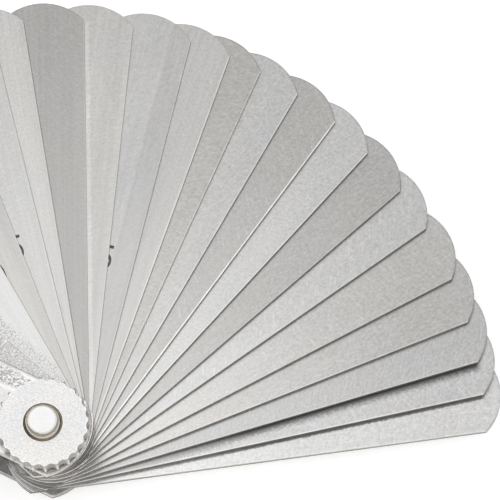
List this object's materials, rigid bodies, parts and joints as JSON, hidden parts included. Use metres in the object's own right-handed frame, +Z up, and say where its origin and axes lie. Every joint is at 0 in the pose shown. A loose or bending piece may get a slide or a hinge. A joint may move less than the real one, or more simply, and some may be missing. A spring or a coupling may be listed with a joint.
{
  "type": "feeler gauge",
  "caption": "Fan of flat round-ended steel gauge leaves, from thin to thick, turning on one screw between two cover plates and clamped by a fluted lock nut.",
  "frame": {"origin": "on the pivot axis, at the flat underside of the pivot screw's head", "axes": "+Z up along the pivot axis towards the lock nut; the two covers run from the pivot along -X; the leaves are fanned out over the +Y side"},
  "size_m": [0.1344, 0.0756, 0.0188],
  "materials": {
    "leaf_steel": "fine-ground bare spring steel, matt with fine grain and light scratches",
    "cover_steel": "bright satin steel sheet",
    "screw_steel": "turned bright steel",
    "nut_steel": "satin nickel-plated steel",
    "washer_steel": "plain steel",
    "spacer_steel": "turned steel tube",
    "rivet_steel": "formed steel rivet"
  },
  "bodies": {
    "case": {"bottom_cover": "cover_steel", "top_cover": "cover_steel", "tail_spacer": "spacer_steel", "tail_rivet": "rivet_steel", "pivot_screw": "screw_steel"},
    "washer": {"nut_washer": "washer_steel"},
    "nut": {"lock_nut": "nut_steel"},
    "leaf_100": {"leaf_100": "leaf_steel"},
    "leaf_005": {"leaf_005": "leaf_steel"},
    "leaf_010": {"leaf_010": "leaf_steel"},
    "leaf_015": {"leaf_015": "leaf_steel"},
    "leaf_020": {"leaf_020": "leaf_steel"},
    "leaf_025": {"leaf_025": "leaf_steel"},
    "leaf_030": {"leaf_030": "leaf_steel"},
    "leaf_035": {"leaf_035": "leaf_steel"},
    "leaf_040": {"leaf_040": "leaf_steel"},
    "leaf_045": {"leaf_045": "leaf_steel"},
    "leaf_050": {"leaf_050": "leaf_steel"},
    "leaf_055": {"leaf_055": "leaf_steel"},
    "leaf_060": {"leaf_060": "leaf_steel"},
    "leaf_065": {"leaf_065": "leaf_steel"},
    "leaf_070": {"leaf_070": "leaf_steel"},
    "leaf_075": {"leaf_075": "leaf_steel"},
    "leaf_080": {"leaf_080": "leaf_steel"},
    "leaf_085": {"leaf_085": "leaf_steel"},
    "leaf_090": {"leaf_090": "leaf_steel"},
    "leaf_095": {"leaf_095": "leaf_steel"}
  },
  "joints": [
    {"name": "nut_lift", "type": "slide", "parent": "case", "child": "washer", "axis": [0, 0, 1], "range_m": [0, 0.0016]},
    {"name": "nut_turn", "type": "hinge", "parent": "washer", "child": "nut", "pos_m": [0, 0, 0], "axis": [0, 0, 1], "range_deg": [0, 720]},
    {"name": "swing_100", "type": "hinge", "parent": "case", "child": "leaf_100", "pos_m": [0, 0, 0], "axis": [0, 0, 1], "range_deg": [-164.7, 15.3]},
    {"name": "swing_005", "type": "hinge", "parent": "case", "child": "leaf_005", "pos_m": [0, 0, 0], "axis": [0, 0, 1], "range_deg": [-145.9, 34.1]},
    {"name": "swing_010", "type": "hinge", "parent": "case", "child": "leaf_010", "pos_m": [0, 0, 0], "axis": [0, 0, 1], "range_deg": [-137.7, 42.3]},
    {"name": "swing_015", "type": "hinge", "parent": "case", "child": "leaf_015", "pos_m": [0, 0, 0], "axis": [0, 0, 1], "range_deg": [-130.4, 49.6]},
    {"name": "swing_020", "type": "hinge", "parent": "case", "child": "leaf_020", "pos_m": [0, 0, 0], "axis": [0, 0, 1], "range_deg": [-125.9, 54.1]},
    {"name": "swing_025", "type": "hinge", "parent": "case", "child": "leaf_025", "pos_m": [0, 0, 0], "axis": [0, 0, 1], "range_deg": [-117.7, 62.3]},
    {"name": "swing_030", "type": "hinge", "parent": "case", "child": "leaf_030", "pos_m": [0, 0, 0], "axis": [0, 0, 1], "range_deg": [-111.1, 68.9]},
    {"name": "swing_035", "type": "hinge", "parent": "case", "child": "leaf_035", "pos_m": [0, 0, 0], "axis": [0, 0, 1], "range_deg": [-103.1, 76.9]},
    {"name": "swing_040", "type": "hinge", "parent": "case", "child": "leaf_040", "pos_m": [0, 0, 0], "axis": [0, 0, 1], "range_deg": [-97.5, 82.5]},
    {"name": "swing_045", "type": "hinge", "parent": "case", "child": "leaf_045", "pos_m": [0, 0, 0], "axis": [0, 0, 1], "range_deg": [-92.9, 87.1]},
    {"name": "swing_050", "type": "hinge", "parent": "case", "child": "leaf_050", "pos_m": [0, 0, 0], "axis": [0, 0, 1], "range_deg": [-87.1, 92.9]},
    {"name": "swing_055", "type": "hinge", "parent": "case", "child": "leaf_055", "pos_m": [0, 0, 0], "axis": [0, 0, 1], "range_deg": [-80.8, 99.2]},
    {"name": "swing_060", "type": "hinge", "parent": "case", "child": "leaf_060", "pos_m": [0, 0, 0], "axis": [0, 0, 1], "range_deg": [-74.8, 105.2]},
    {"name": "swing_065", "type": "hinge", "parent": "case", "child": "leaf_065", "pos_m": [0, 0, 0], "axis": [0, 0, 1], "range_deg": [-68.1, 111.9]},
    {"name": "swing_070", "type": "hinge", "parent": "case", "child": "leaf_070", "pos_m": [0, 0, 0], "axis": [0, 0, 1], "range_deg": [-62, 118]},
    {"name": "swing_075", "type": "hinge", "parent": "case", "child": "leaf_075", "pos_m": [0, 0, 0], "axis": [0, 0, 1], "range_deg": [-54.4, 125.6]},
    {"name": "swing_080", "type": "hinge", "parent": "case", "child": "leaf_080", "pos_m": [0, 0, 0], "axis": [0, 0, 1], "range_deg": [-48.3, 131.7]},
    {"name": "swing_085", "type": "hinge", "parent": "case", "child": "leaf_085", "pos_m": [0, 0, 0], "axis": [0, 0, 1], "range_deg": [-42.9, 137.1]},
    {"name": "swing_090", "type": "hinge", "parent": "case", "child": "leaf_090", "pos_m": [0, 0, 0], "axis": [0, 0, 1], "range_deg": [-38.6, 141.4]},
    {"name": "swing_095", "type": "hinge", "parent": "case", "child": "leaf_095", "pos_m": [0, 0, 0], "axis": [0, 0, 1], "range_deg": [-33.8, 146.2]}
  ],
  "couplings": [
    {"joint": "nut_turn", "follows": "nut_lift", "rad_per_m": 7854}
  ]
}
